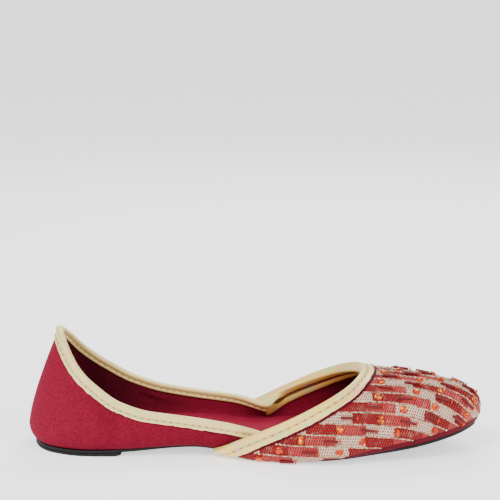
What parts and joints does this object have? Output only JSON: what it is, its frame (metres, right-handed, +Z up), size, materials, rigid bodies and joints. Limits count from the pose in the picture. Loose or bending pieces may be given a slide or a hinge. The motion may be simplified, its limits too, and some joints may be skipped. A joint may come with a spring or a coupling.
{
  "type": "mojari shoe",
  "caption": "Flat slip-on shoe with a low-cut suede quarter, an embroidered beaded vamp, rolled bindings and a thin rubber sole with a low heel pad.",
  "frame": {"origin": "on the floor under the middle of the shoe's length and width", "axes": "+X from heel to toe, +Y across the shoe, +Z up"},
  "size_m": [0.248, 0.0834, 0.065],
  "materials": {
    "sole_rubber": "matt black rubber",
    "sock_cloth": "smooth crimson cloth",
    "suede": "crimson faux suede with a short nap",
    "embroidery": "chain-stitch rows in dark red, salmon and blush",
    "binding": "pale gold pearlised leatherette",
    "beads": "orange-red faceted crystal",
    "metal_cord": "twisted silver-cream metallic cord"
  },
  "bodies": {
    "root": {"outsole": "sole_rubber", "heel_pad": "sole_rubber", "insole": "sock_cloth", "upper": "suede", "vamp_cover": "embroidery", "quarter_binding": "binding", "vamp_binding": "binding"}
  },
  "joints": []
}
